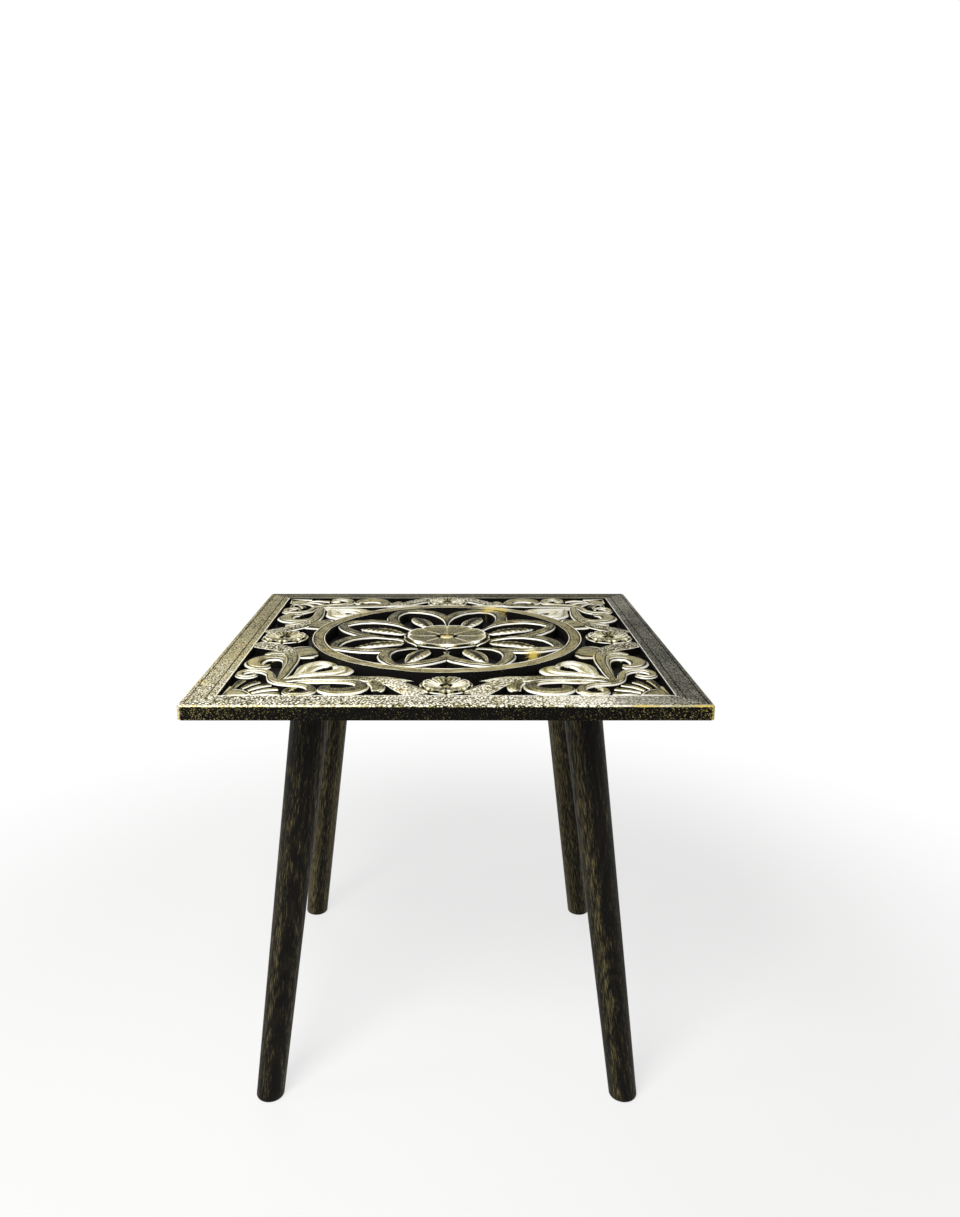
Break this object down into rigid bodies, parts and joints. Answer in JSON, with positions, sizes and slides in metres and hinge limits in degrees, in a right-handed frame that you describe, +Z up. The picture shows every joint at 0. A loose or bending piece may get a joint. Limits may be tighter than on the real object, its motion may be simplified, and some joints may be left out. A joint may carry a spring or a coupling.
{
  "type": "accent table",
  "caption": "Low square accent table: carved floral top in a mitred frame, antique gold over black, on splayed turned tapered legs.",
  "frame": {"origin": "centre of the square between the four feet, on the floor", "axes": "+Z up, -Y the front that faces the camera, +X to the right seen from the front"},
  "size_m": [0.45, 0.45, 0.4186],
  "materials": {
    "ground_black": "matte black paint",
    "rail_gold": "antique gold dry-brushed over black",
    "carving_gold": "antique gold dry-brushed over black, bright on the crests",
    "block_black": "matte black paint",
    "leg_black": "satin black-brown with gold rubbed into the grain",
    "zinc_steel": "zinc plated"
  },
  "bodies": {
    "root": {"ground_board": "ground_black", "rail_front": "rail_gold", "rosette_front": "carving_gold", "rail_right": "rail_gold", "rosette_right": "carving_gold", "rail_back": "rail_gold", "rosette_back": "carving_gold", "rail_left": "rail_gold", "rosette_left": "carving_gold", "rosette_centre": "carving_gold", "medallion": "carving_gold", "fan_front_left": "carving_gold", "scrolls_front_left": "carving_gold", "leg_block_front_left": "block_black", "leg_front_left": "leg_black", "fan_front_right": "carving_gold", "scrolls_front_right": "carving_gold", "leg_block_front_right": "block_black", "leg_front_right": "leg_black", "fan_back_right": "carving_gold", "scrolls_back_right": "carving_gold", "leg_block_back_right": "block_black", "leg_back_right": "leg_black", "fan_back_left": "carving_gold", "scrolls_back_left": "carving_gold", "leg_block_back_left": "block_black", "leg_back_left": "leg_black", "hanger_bolts": "zinc_steel", "thread_inserts": "zinc_steel", "block_screws": "zinc_steel"}
  },
  "joints": []
}
